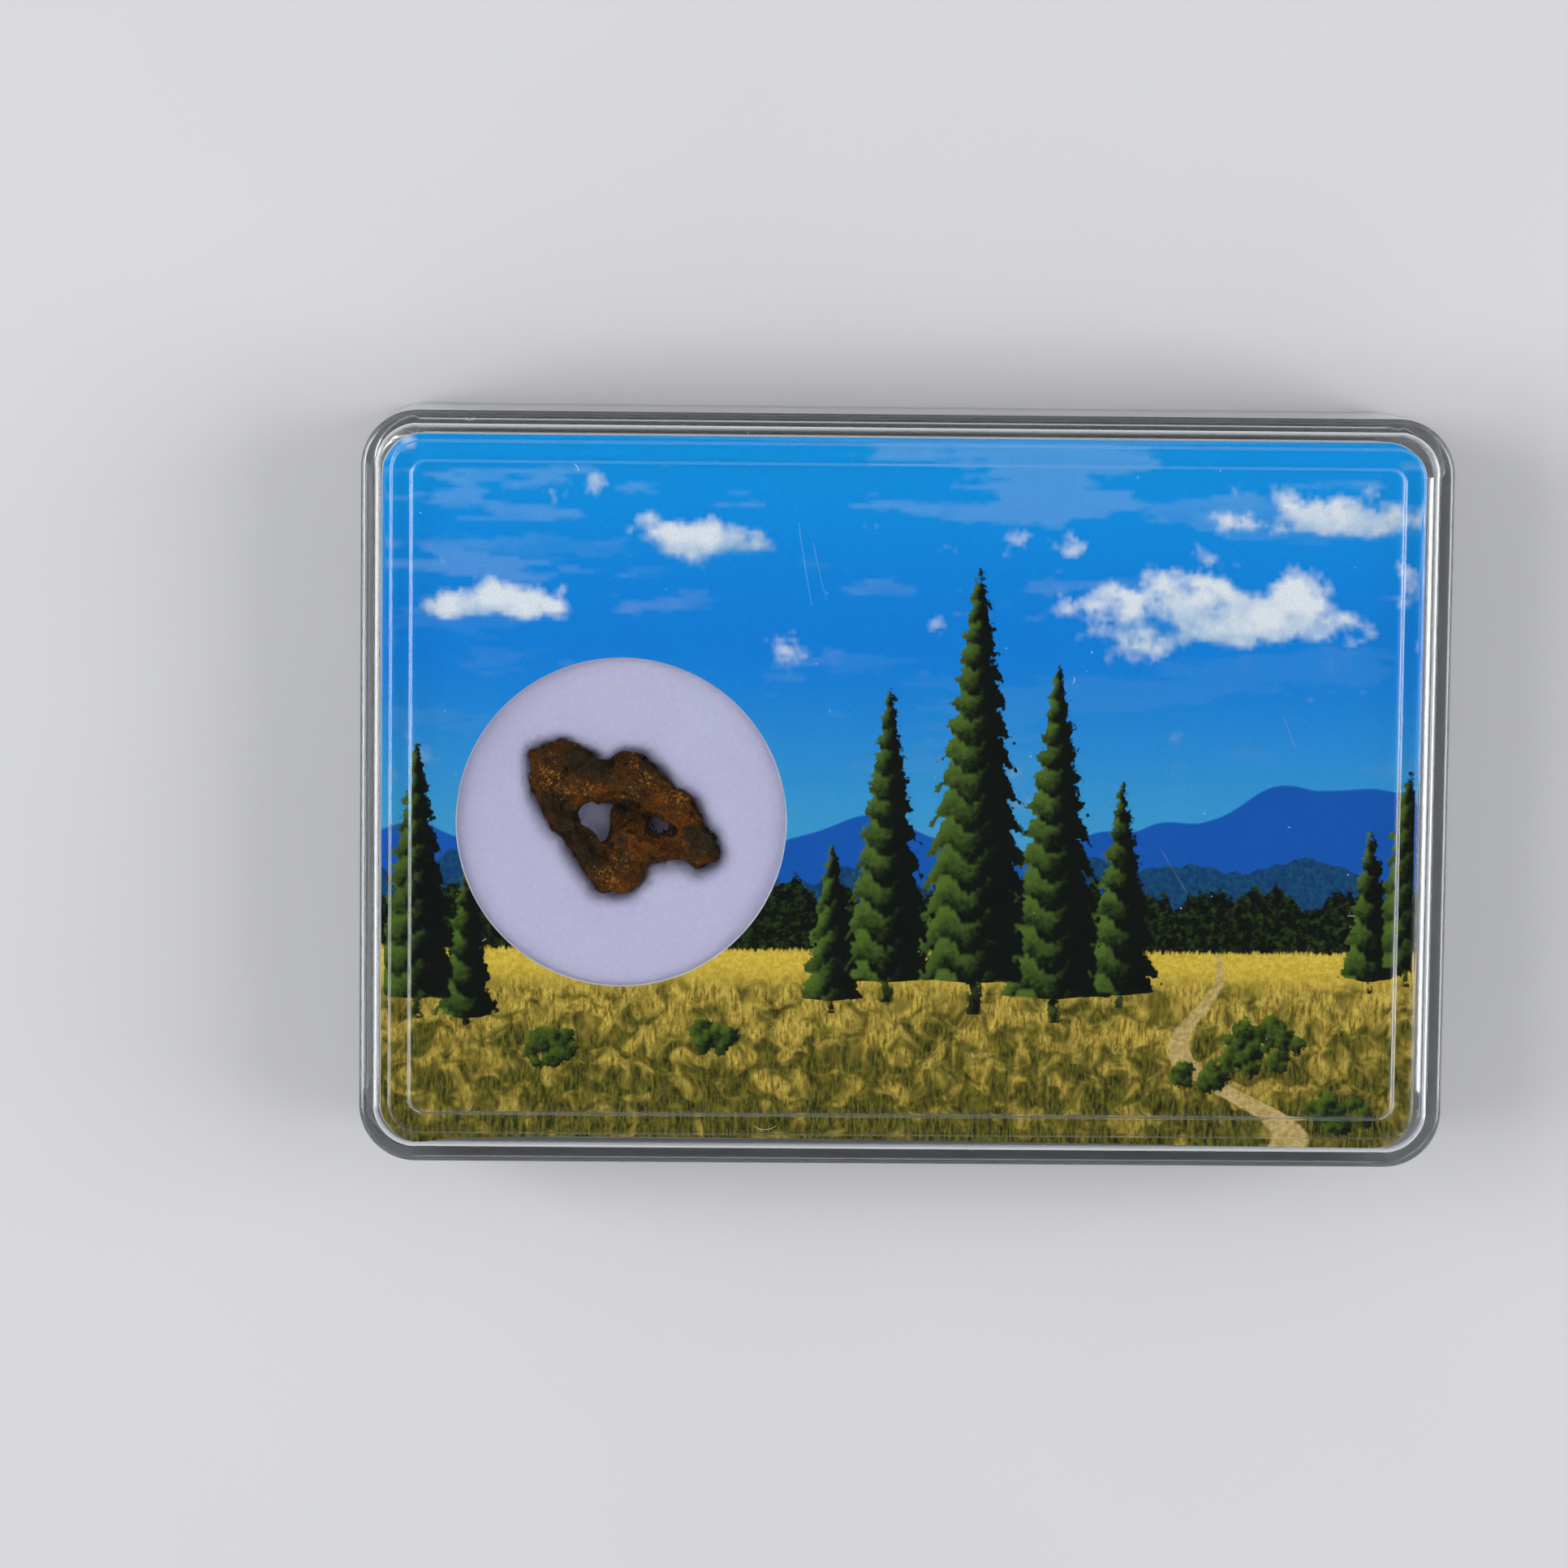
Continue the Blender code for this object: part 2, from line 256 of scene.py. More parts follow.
def applied(obj):
    """A new mesh with the object's modifiers applied. The object goes."""
    graph = bpy.context.evaluated_depsgraph_get()
    mesh = bpy.data.meshes.new_from_object(obj.evaluated_get(graph))
    bpy.data.objects.remove(obj)
    return mesh


def vertex_places(mesh):
    """The vertices as rows of x, y and z."""
    places = np.empty(len(mesh.vertices) * 3)
    mesh.vertices.foreach_get("co", places)
    return places.reshape(-1, 3)


def vertex_normals(mesh):
    """The vertices' normals as rows of x, y and z."""
    normals = np.empty(len(mesh.vertices) * 3)
    mesh.vertices.foreach_get("normal", normals)
    return normals.reshape(-1, 3)


def set_places(mesh, places):
    """Puts the vertices at these rows of x, y and z."""
    mesh.vertices.foreach_set("co", places.ravel())
    mesh.update()


def add_attribute(mesh, name, values):
    """Keeps one number for each vertex, for the materials to read."""
    attribute = mesh.attributes.new(name, "FLOAT", "POINT")
    attribute.data.foreach_set("value", np.asarray(values, np.float32))


# Clear box

SOFT_EDGE = 0.15 * MM
LID_INSIDE_ROUND = 0.45 * MM
BASE_INSIDE_ROUND = 0.5 * MM
LEAST_CORNER = 0.6 * MM
# Faces whose normal rises less than this count as walls. The foot stays just off the floor's plane.
STEEP = 0.5
OFF_FLOOR = 0.02 * MM


def corner_radius(inset):
    """The corners keep the outline's middles near the edge, and follow the ridge further in."""
    if inset < RIDGE_OUTER_INSET - EDGE_ROUND:
        return CORNER_RADIUS - inset
    along = (inset - RIDGE_OUTER_INSET) / (RIDGE_INNER_INSET - RIDGE_OUTER_INSET)
    return max(RIDGE_OUTER_RADIUS + along * (RIDGE_INNER_RADIUS - RIDGE_OUTER_RADIUS), LEAST_CORNER)


def ring(work, inset, height, radius):
    """The points of a rounded rectangle this far inside the box's outline."""
    points = []
    for quarter in range(4):
        side_x = 1 if quarter in (0, 3) else -1
        side_y = 1 if quarter in (0, 1) else -1
        x = side_x * (LENGTH / 2 - inset - radius)
        y = side_y * (WIDTH / 2 - inset - radius)
        for step in range(CORNER_STEPS + 1):
            angle = math.pi / 2 * (quarter + step / CORNER_STEPS)
            point = (x + radius * math.cos(angle), y + radius * math.sin(angle), height)
            points.append(work.verts.new(point))
    return points


def arc(inset, height, radius, start, end, steps=5):
    """Points of a rounded edge in the box's profile, from start to end in degrees: 0 is inwards, 90 up."""
    angles = [math.radians(start + (end - start) * step / steps) for step in range(steps + 1)]
    return [(inset + radius * math.cos(angle), height + radius * math.sin(angle)) for angle in angles]


def moulded(name, profile, flat_surface, wall_surface):
    """A closed moulding through the profile's (inset, height) points, capped at both ends."""
    work = bmesh.new()
    loops = [ring(work, inset, height, corner_radius(inset)) for inset, height in profile]
    count = len(loops[0])
    for lower, upper in zip(loops, loops[1:]):
        for i in range(count):
            j = (i + 1) % count
            work.faces.new((lower[i], lower[j], upper[j], upper[i]))
    work.faces.new(loops[0])
    work.faces.new(loops[-1])
    bmesh.ops.recalc_face_normals(work, faces=work.faces)
    mesh = bpy.data.meshes.new(name)
    work.to_mesh(mesh)
    work.free()
    mesh.shade_smooth()
    obj = piece(name, mesh, flat_surface, wall_surface)
    for polygon in mesh.polygons:
        polygon.material_index = int(abs(polygon.normal.z) < STEEP)
    flat = obj.modifiers.new("flat faces stay flat", "WEIGHTED_NORMAL")
    flat.weight = 100
    return obj


def build_lid(flat_surface, wall_surface):
    """The lid, from its ceiling down the inside, up the outside and over the ridge."""
    skirt = LID_LOW[2]
    soft = SOFT_EDGE
    inside = LID_INSIDE_ROUND
    profile = [
        *arc(WALL + inside, CEILING - inside, inside, 90, 180),
        *arc(WALL - soft, skirt + soft, soft, 0, -90, 3),
        *arc(soft, skirt + soft, soft, -90, -180, 3),
        *arc(EDGE_ROUND, LID_PLANE - EDGE_ROUND, EDGE_ROUND, 180, 90, 6),
        *arc(RIDGE_OUTER_INSET - soft, LID_PLANE + soft, soft, -90, 0, 4),
        *arc(RIDGE_OUTER_INSET + soft, TOP - soft, soft, 180, 90, 4),
        *arc(RIDGE_INNER_INSET - soft, TOP - soft, soft, 90, 0, 4),
        *arc(RIDGE_INNER_INSET + soft, LID_PLANE + soft, soft, 180, 270, 4),
    ]
    return finished(moulded("clear_lid", profile, flat_surface, wall_surface), "clear_lid", "lid")


def build_base(flat_surface, wall_surface):
    """The base, from under its floor over the foot, the flange and the rim wall to the floor inside."""
    soft = SOFT_EDGE
    rim_top = BASE_HIGH[2]
    rim_outer = WALL + GAP
    rim_inner = rim_outer + WALL
    floor = FOOT_DEPTH + FLOOR_THICKNESS
    foot_inner = EDGE_ROUND + FOOT_WIDTH
    inside = BASE_INSIDE_ROUND
    profile = [
        *arc(foot_inner + soft, FOOT_DEPTH - soft, soft, 90, 180, 3),
        *arc(foot_inner - soft, soft + OFF_FLOOR, soft, 0, -90, 3),
        *arc(EDGE_ROUND, EDGE_ROUND + OFF_FLOOR, EDGE_ROUND, -90, -180, 5),
        *arc(soft, FLANGE_HEIGHT - soft, soft, 180, 90, 3),
        *arc(rim_outer - soft, FLANGE_HEIGHT + soft, soft, -90, 0, 3),
        *arc(rim_outer + soft, rim_top - soft, soft, 180, 90, 3),
        *arc(rim_inner - soft, rim_top - soft, soft, 90, 0, 3),
        *arc(rim_inner + inside, floor + inside, inside, 180, 270, 5),
    ]
    return finished(moulded("clear_base", profile, flat_surface, wall_surface), "clear_base", "base")


def clear_plastic():
    """Clear, polished polystyrene with hairline unevenness."""
    made, tree, shader = new_material(
        "clear_plastic",
        Base_Color=(0.975, 0.985, 0.985),
        Roughness=0.02,
        IOR=1.52,
        Transmission_Weight=1.0,
    )
    _, place = place_in_mm(tree)
    bumped(tree, shader, noise_field(tree, place, 0.12, 0.0), 0.01, 0.1)
    return made


def scuffed_plastic():
    """The same plastic on the walls: a little dulled by handling, with faint flow lines running down."""
    made, tree, shader = new_material(
        "scuffed_plastic",
        Base_Color=(0.93, 0.96, 0.97),
        Roughness=0.06,
        IOR=1.52,
        Transmission_Weight=0.965,
    )
    (x, y, z), _ = place_in_mm(tree)
    flow = noise_field(tree, combined(tree, x, y, z * 0.03), 1.6, 1.0, 0.7)
    bumped(tree, shader, flow, 0.02, 0.4)
    return made


# Printed card

SKY_TOP = linear(0, 158, 238)
SKY_MIDDLE = linear(0, 136, 228)
SKY_LOW = linear(70, 170, 216)
CLOUD_TONES = linear(122, 176, 222), linear(240, 246, 250)
FAR_HILL_TONE = linear(10, 92, 186)
NEAR_HILL_TONES = linear(6, 60, 112), linear(22, 84, 118)
WOOD_TONES = linear(3, 9, 5), linear(44, 66, 14)
GOLD_TONES = linear(112, 94, 18), linear(226, 196, 88)
GREEN_TONES = linear(26, 34, 6), linear(128, 120, 34)
PLAIN_TONES = linear(206, 174, 50), linear(232, 204, 84)
SAND_TONES = linear(176, 148, 84), linear(214, 190, 128)
SHRUB_TONES = linear(8, 20, 6), linear(86, 110, 28)
FIR_TONES = linear(3, 12, 5), linear(84, 112, 36)
PAPER_TONES = (0.74, 0.74, 0.76), (0.9, 0.9, 0.92)

CARD_PITCH = 0.3
CARD_CORNER_STEPS = 12
LOWER_EDGE_STEPS = 40
WINDOW_STEPS = 120
NET_SHRINK = (0.994, 0.992)
NET_CLEAR = 0.4
PAPER_HOLLOW = 0.5 * MM
HOLLOW_LEAN = 0.46
CUT_SLOPE = 0.06 * MM
NO_SHAPE = -9.0

# The printed picture, in millimetres from the box's middle. A fir is (x, foot, height, spread),
# with its spread as a share of its height.
FIRS = [
    (5.5, -16.8, 34.0, 0.17),
    (11.6, -17.6, 27.5, 0.18),
    (-1.2, -16.2, 24.0, 0.18),
    (16.6, -16.6, 17.5, 0.2),
    (-5.4, -17.0, 13.0, 0.22),
    (-37.0, -17.5, 21.0, 0.19),
    (-33.2, -18.4, 12.5, 0.22),
    (35.6, -15.2, 12.5, 0.21),
    (38.4, -14.6, 16.5, 0.2),
]
# A cloud is (x, y, reach, rise), and a shrub (x, y, size)
CLOUDS = [(24.0, 12.5, 12.0, 5.0), (33.0, 20.5, 8.0, 2.6), (-14.0, 18.5, 8.0, 2.4), (-32.0, 13.5, 6.0, 1.8)]
SHRUBS = [
    (27.5, -19.5, 3.4),
    (22.6, -21.8, 1.8),
    (-14.5, -19.0, 1.8),
    (-27.0, -20.0, 2.4),
    (33.6, -24.4, 2.2),
]
SHRUB_SEED = 21
CLUMPS_PER_MM = 9
# A wavy line is (level, swing, scale, seed, octaves)
SKYLINES = {
    "far_hills": (-3.4, 4.6, 0.05, 4.0, 3),
    "near_hills": (-6.2, 3.0, 0.09, 11.0, 4),
    "woods": (-7.9, 2.2, 0.3, 27.0, 5),
}
OCTAVE_STEP = 2.1
PATH_START = 12.4
PATH_X = 24.0


def fir_field(points):
    """(depth inside the nearest fir, how sunlit it is) at each point, in millimetres and from 0 to 1."""
    inside = np.full(len(points), NO_SHAPE)
    lit = np.zeros(len(points))
    for x, foot, height, spread in FIRS:
        rise = (points[:, 1] - foot) / height
        side = points[:, 0] - x
        below_tip = np.clip(1 - rise, 0.0, 1.0)
        tier = (below_tip**0.8 * height * 0.5 + 0.3 * np.sin(side * 1.7 + x)) % 1.0
        half = height * spread * below_tip**0.85 * (0.62 + 0.38 * tier) + 0.1
        depth = np.where((rise > 0.07) & (rise < 1.0), half - np.abs(side), NO_SHAPE)
        trunk = np.where((rise > -0.01) & (rise < 0.12), 0.016 * height - np.abs(side), NO_SHAPE)
        depth = np.maximum(depth, trunk)
        nearer = depth > inside
        inside[nearer] = depth[nearer]
        light = 0.62 - 0.5 * side / half - 0.45 * tier
        lit[nearer] = light[nearer]
    return inside, np.clip(lit, 0.0, 1.0)


def shrub_field(points):
    """(depth inside the nearest shrub, how sunlit it is): each shrub is a heap of small round clumps."""
    random = np.random.default_rng(SHRUB_SEED)
    inside = np.full(len(points), NO_SHAPE)
    lit = np.zeros(len(points))
    for x, y, size in SHRUBS:
        for _ in range(int(CLUMPS_PER_MM * size)):
            away = size * math.sqrt(random.uniform(0, 1))
            turn = random.uniform(0, 2 * math.pi)
            radius = random.uniform(0.45, 0.95)
            gap = points - (x + away * math.cos(turn), y + 0.5 * away * math.sin(turn))
            depth = radius - np.hypot(gap[:, 0], gap[:, 1])
            nearer = depth > inside
            inside[nearer] = depth[nearer]
            lit[nearer] = 0.5 + (0.3 * gap[nearer, 1] - 0.35 * gap[nearer, 0]) / radius
    return inside, np.clip(lit, 0.0, 1.0)


def fractal_at(points, scale_x, scale_y, seed, octaves=5, fall=0.7):
    """Cloudy noise round 0 at each point."""
    places = [Vector((x * scale_x, y * scale_y, seed)) for x, y in points]
    return np.array([noise.fractal(place, fall, OCTAVE_STEP, octaves) for place in places])


def cloud_field(points):
    """(how thick the cloud is, how bright it is) at each point, both about 0 to 1."""
    puffs = fractal_at(points, 0.17, 0.24, 9.0, 6)
    streaks = fractal_at(points, 0.05, 0.3, 3.0, 5)
    heap = np.zeros(len(points))
    light = np.zeros(len(points))
    for x, y, reach, rise in CLOUDS:
        up = (points[:, 1] - y) / rise
        up = np.where(up < 0, up * 2.4, up)
        near = np.exp(-(((points[:, 0] - x) / reach) ** 2) - up**2)
        light = np.where(near > heap, 0.55 + 0.4 * up, light)
        heap = np.maximum(heap, near)
    thick = np.clip((heap * 1.25 + puffs * 0.75 - 0.55) * 2.4, 0.0, 1.0)
    veil = np.clip((streaks - 0.2) * 0.7, 0.0, 0.1) * (points[:, 1] > -6)
    return np.maximum(thick, veil), np.clip(light + puffs * 0.9, 0.0, 1.0)


def skyline(points, level, swing, scale, seed, octaves):
    """How far each point lies below a wavy line, in millimetres."""
    heights = fractal_at([(x, 0.0) for x in points[:, 0]], scale, 1.0, seed, octaves)
    return level + swing * heights - points[:, 1]


def card_outline(inset):
    """The card's edge as (x, y), anticlockwise, this far inside its place. The lower edge is hollow."""
    radius = CARD_RADIUS - inset
    middle = ((CARD_LOW[0] + CARD_HIGH[0]) / 2, (CARD_LOW[1] + CARD_HIGH[1]) / 2)
    half = [(high - low) / 2 - CARD_RADIUS for low, high in zip(CARD_LOW[:2], CARD_HIGH[:2])]
    points = []
    for quarter in range(4):
        side_x = 1 if quarter in (0, 3) else -1
        side_y = 1 if quarter in (0, 1) else -1
        for step in range(CARD_CORNER_STEPS + 1):
            angle = math.pi / 2 * (quarter + step / CARD_CORNER_STEPS)
            x = middle[0] + side_x * half[0] + radius * math.cos(angle)
            points.append((x, middle[1] + side_y * half[1] + radius * math.sin(angle)))
        if quarter == 2:
            for share in np.linspace(0, 1, LOWER_EDGE_STEPS + 1)[1:-1]:
                x = middle[0] + (2 * share - 1) * half[0]
                rise = PAPER_HOLLOW * math.sin(math.pi * share**HOLLOW_LEAN)
                points.append((x, middle[1] - half[1] - radius + rise))
    return points


def inside_polygon(points, outline):
    """Which points lie inside the closed outline."""
    inside = np.zeros(len(points), bool)
    for (x0, y0), (x1, y1) in zip(outline, outline[1:] + outline[:1]):
        if y0 == y1:
            continue
        crosses = (points[:, 1] > y0) != (points[:, 1] > y1)
        inside ^= crosses & (points[:, 0] < x0 + (points[:, 1] - y0) * (x1 - x0) / (y1 - y0))
    return inside


def net_points(outline):
    """Evenly spread points inside the card and outside its window."""
    pitch = CARD_PITCH * MM
    xs = np.arange(CARD_LOW[0] + pitch, CARD_HIGH[0], pitch)
    ys = np.arange(CARD_LOW[1] + pitch, CARD_HIGH[1], pitch)
    net = np.array([(x + 0.5 * pitch * (row % 2), y) for row, y in enumerate(ys) for x in xs])
    away = np.hypot(net[:, 0] - WINDOW.x, net[:, 1] - WINDOW.y)
    shrunk = [(x * NET_SHRINK[0], y * NET_SHRINK[1]) for x, y in outline]
    return net[inside_polygon(net, shrunk) & (away > WINDOW_RADIUS + NET_CLEAR * pitch)]


def filled(outline, window, net):
    """(points, triangles) of the card's face. The points begin with the outline's and the window's."""
    corners = [Vector(point) for point in [*outline, *window, *(tuple(point) for point in net)]]
    edge = len(outline)
    hole = len(window)
    edges = [(i, (i + 1) % edge) for i in range(edge)]
    edges += [(edge + i, edge + (i + 1) % hole) for i in range(hole)]
    points, _, faces, *_ = delaunay_2d_cdt(corners, edges, [], 1, 1e-9)
    points = np.array([tuple(point) for point in points])
    middles = points[np.array(faces)].mean(axis=1)
    kept = ~inside_polygon(middles, window)
    return points, [face for face, keep in zip(faces, kept) if keep]


def window_outline(radius):
    """The window's edge as (x, y), anticlockwise."""
    turns = [2 * math.pi * step / WINDOW_STEPS for step in range(WINDOW_STEPS)]
    return [(WINDOW.x + radius * math.cos(turn), WINDOW.y + radius * math.sin(turn)) for turn in turns]


def card_mesh():
    """The card's plate, with a fine net on its upper face for the print. Its cut edges slope a little."""
    outline = card_outline(CUT_SLOPE)
    window = window_outline(WINDOW_RADIUS + CUT_SLOPE)
    upper, upper_faces = filled(outline, window, net_points(outline))
    lower, lower_faces = filled(card_outline(0.0), window_outline(WINDOW_RADIUS), [])
    work = bmesh.new()
    top = [work.verts.new((x, y, CARD_HIGH[2])) for x, y in upper]
    under = [work.verts.new((x, y, CARD_LOW[2])) for x, y in lower]
    for face in upper_faces:
        work.faces.new([top[i] for i in face])
    for face in lower_faces:
        work.faces.new([under[i] for i in reversed(face)])
    edge = len(outline)
    for first, count in ((0, edge), (edge, len(window))):
        for i in range(count):
            a = first + i
            b = first + (i + 1) % count
            work.faces.new((under[a], under[b], top[b], top[a]))
    loose = [vert for vert in work.verts if not vert.link_faces]
    bmesh.ops.delete(work, geom=loose, context="VERTS")
    bmesh.ops.recalc_face_normals(work, faces=work.faces)
    mesh = bpy.data.meshes.new("card")
    work.to_mesh(mesh)
    work.free()
    return mesh


def build_card(print_surface, paper_surface):
    """The card, with the layers of its picture kept at its vertices."""
    mesh = card_mesh()
    points = vertex_places(mesh)[:, :2] / MM
    layers = {name: skyline(points, *line) for name, line in SKYLINES.items()}
    layers["cloud"], layers["cloud_light"] = cloud_field(points)
    layers["firs"], layers["fir_light"] = fir_field(points)
    layers["shrubs"], layers["shrub_light"] = shrub_field(points)
    for name, values in layers.items():
        add_attribute(mesh, name, values)
    card = piece("printed_card", mesh, paper_surface, print_surface)
    for polygon in mesh.polygons:
        polygon.material_index = int(polygon.normal.z > STEEP)
    return finished(card, "card", "card")


def landscape_print():
    """The card's picture: firs and gold grass under blue hills, with heaped clouds in a blue sky."""
    made, tree, shader = new_material("landscape_print", Roughness=0.42, Specular_IOR_Level=0.12)
    (x, y, _), place = place_in_mm(tree)
    fine = noise_field(tree, place, 2.6, 2.0, 0.7)
    leaf = noise_field(tree, place, 1.2, 3.0, 0.75)
    strokes = noise_field(tree, combined(tree, x * 3.6, y * 0.8, 1.0), 1.0, 3.0, 0.75)
    tufts = noise_field(tree, combined(tree, x * 0.55, y * 0.5, 6.0), 1.0, 2.0, 0.7, 0.6)

    def layer(name):
        return attribute_field(tree, name)

    # Sky and clouds
    sky = mixed(tree, y.step(28.0, 10.0), SKY_TOP, SKY_MIDDLE)
    sky = mixed(tree, y.step(12.0, -9.0), sky, SKY_LOW)
    cloud_colour = mixed(tree, layer("cloud_light"), *CLOUD_TONES)
    picture = mixed(tree, layer("cloud"), sky, cloud_colour)

    # Two ranges of hazy hills and the far woods
    picture = mixed(tree, layer("far_hills").step(-0.08, 0.12), picture, FAR_HILL_TONE)
    hill_colour = mixed(tree, fine.step(0.35, 0.7), *NEAR_HILL_TONES)
    picture = mixed(tree, layer("near_hills").step(-0.08, 0.12), picture, hill_colour)
    wood_tone = (leaf + (fine - 0.5) * 0.8).step(0.44, 0.74)
    wood_colour = mixed(tree, wood_tone, *WOOD_TONES)
    picture = mixed(tree, (layer("woods") + (leaf - 0.5) * 2.4).step(-0.1, 0.15), picture, wood_colour)

    # Grass in long upright strokes, coarser and greener towards the lower edge
    near = y.step(-14.0, -27.0)
    gold = mixed(tree, strokes.step(0.34, 0.66), *GOLD_TONES)
    green = mixed(tree, strokes.step(0.36, 0.7), *GREEN_TONES)
    grass = mixed(tree, (tufts + near * 0.18 + (strokes - 0.5) * 0.6).step(0.46, 0.68), gold, green)
    lit_plain = mixed(tree, fine.step(0.3, 0.7), *PLAIN_TONES)
    grass = mixed(tree, y.step(-15.8, -13.2), grass, lit_plain)

    # A trodden path that winds down from the woods
    depth = y * -1.0 - PATH_START
    path_middle = (y * 0.42).math("SINE") * (depth * 0.42) + PATH_X
    off_path = (x - path_middle).math("ABSOLUTE") - (depth * 0.09 + 0.15) + (strokes - 0.5) * 0.9
    sand = mixed(tree, fine.step(0.3, 0.7), *SAND_TONES)
    grass = mixed(tree, off_path.step(0.15, -0.15), grass, sand)
    plain_edge = (strokes - 0.5) * 1.4 + (y * -1.0 - 12.2)
    picture = mixed(tree, plain_edge.step(-0.1, 0.2), picture, grass)

    # Shrubs, then firs in front, with ragged edges
    ragged = (leaf - 0.5) * 1.6 + (fine - 0.5) * 1.1
    shrub_tone = (layer("shrub_light") * 0.55 + leaf * 0.8).step(0.5, 0.95)
    shrub_colour = mixed(tree, shrub_tone, *SHRUB_TONES)
    picture = mixed(tree, (layer("shrubs") + ragged * 0.8).step(-0.05, 0.15), picture, shrub_colour)
    fir_tone = (layer("fir_light") * 0.75 + leaf * 0.5 + fine * 0.3).step(0.62, 1.15)
    fir_colour = mixed(tree, fir_tone, *FIR_TONES)
    picture = mixed(tree, (layer("firs") + ragged * 0.9).step(-0.05, 0.15), picture, fir_colour)

    # The fine grain of the print
    grain = noise_field(tree, place, 9.0, 0.0, 0.5)
    tree.links.new(shaded(tree, picture, grain * 0.3 + 0.85), shader.inputs["Base Color"])
    return made


def card_paper():
    """The card's bare white paper, at its cut edges and on its back."""
    made, tree, shader = new_material("card_paper", Roughness=0.75)
    _, place = place_in_mm(tree)
    fibre = noise_field(tree, place, 3.0, 4.0, 0.7)
    tree.links.new(mixed(tree, fibre, *PAPER_TONES), shader.inputs["Base Color"])
    bumped(tree, shader, fibre, 0.02, 0.4)
    return made


# Meteorite

SPECIMEN_PITCH = 0.08 * MM
HOLLOW_RAYS = 10
HOLLOW_REACH = 1.6 * MM
RAY_RISE = (0.25, 0.95)
RAY_START = 0.03 * MM
# The surface's unevenness in millimetres: how wide each kind of form is, and how deep it goes
SCOOP_WIDTH = 1.8
SCOOP_EDGE = 0.6
SCOOP_DEPTH = 0.26
PIT_WIDTH = 1.15
PIT_REACH = 0.34
PIT_DEPTH = 0.5
LUMP_WIDTH = 1.1
LUMP_DEPTH = 0.12
CRUST_WIDTH = 0.34
CRUST_DEPTH = 0.06
SHRINK = 0.06
IRON_TONES = linear(36, 22, 4), linear(72, 45, 9)
RUST_TONES = linear(84, 42, 3), linear(128, 69, 6)
BARE_TONES = linear(30, 24, 8), linear(57, 42, 13)
FLECK_TONE = linear(184, 132, 42)
# Near-black of the painted shade in the iron's hollows and pits
PAINTED_HOLLOW_SHADE = linear(10, 7, 3)


def hollowness(mesh):
    """How shut in each point is, from 0 in the open to 1 deep in a hollow. The iron's material paints shade
    from it.
    """
    places = [vert.co.copy() for vert in mesh.vertices]
    tree = BVHTree.FromPolygons(places, [tuple(polygon.vertices) for polygon in mesh.polygons])
    turn = math.pi * (3 - math.sqrt(5))
    low, high = RAY_RISE
    rays = []
    for index in range(HOLLOW_RAYS):
        rise = low + (high - low) * (index + 0.5) / HOLLOW_RAYS
        spread = math.sqrt(1 - rise * rise)
        rays.append(Vector((spread * math.cos(turn * index), spread * math.sin(turn * index), rise)))
    shut = np.zeros(len(places))
    for index, vert in enumerate(mesh.vertices):
        outward = vert.normal
        aim = outward.to_track_quat("Z", "Y").to_matrix()
        start = places[index] + outward * RAY_START
        for ray in rays:
            hit = tree.ray_cast(start, aim @ ray, HOLLOW_REACH)
            if hit[0]:
                shut[index] += 1 - hit[3] / HOLLOW_REACH * 0.5
    return shut / HOLLOW_RAYS


def specimen_mesh():
    """The solid's shape, with the scoops, pits and crust of rusted iron."""
    rough = piece("rough_iron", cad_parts["meteorite"].data.copy())
    work = bmesh.new()
    work.from_mesh(rough.data)
    bmesh.ops.remove_doubles(work, verts=work.verts, dist=1e-6)
    work.to_mesh(rough.data)
    work.free()
    fine = rough.modifiers.new("fine net", "REMESH")
    fine.mode = "VOXEL"
    fine.voxel_size = SPECIMEN_PITCH
    smooth = rough.modifiers.new("no facets", "SMOOTH")
    smooth.factor = 0.5
    smooth.iterations = 5
    mesh = applied(rough)
    mesh.materials.clear()

    places = vertex_places(mesh)
    normals = vertex_normals(mesh)
    shift = np.zeros(len(places))
    scoop = np.zeros(len(places))
    pit = np.zeros(len(places))
    for index, place in enumerate(places):
        point = Vector(place / MM)
        near = noise.voronoi(point / SCOOP_WIDTH + Vector((3.1, 0.4, 7.7)))[0]
        edge = min((near[1] - near[0]) / SCOOP_EDGE, 1.0)
        hole = noise.voronoi(point / PIT_WIDTH + Vector((1.0, 5.0, 2.0)))[0]
        depth = max(0.0, PIT_REACH - hole[0])
        crust = noise.fractal(point / CRUST_WIDTH, 0.8, 2.1, 4)
        lumps = noise.fractal(point / LUMP_WIDTH + Vector((9.0, 2.0, 4.0)), 0.8, 2.0, 2)
        scoop[index] = edge
        pit[index] = depth
        shift[index] = -SCOOP_DEPTH * (1 - (1 - edge) ** 2) + LUMP_DEPTH * lumps
        shift[index] += CRUST_DEPTH * crust - PIT_DEPTH * depth
    places += normals * (shift - SHRINK)[:, None] * MM
    places[:, 2] = np.minimum(places[:, 2], SPECIMEN_HIGH[2])
    set_places(mesh, places)
    add_attribute(mesh, "scoop", scoop)
    add_attribute(mesh, "pit", pit)
    add_attribute(mesh, "shut", hollowness(mesh))
    mesh.shade_smooth()
    return mesh


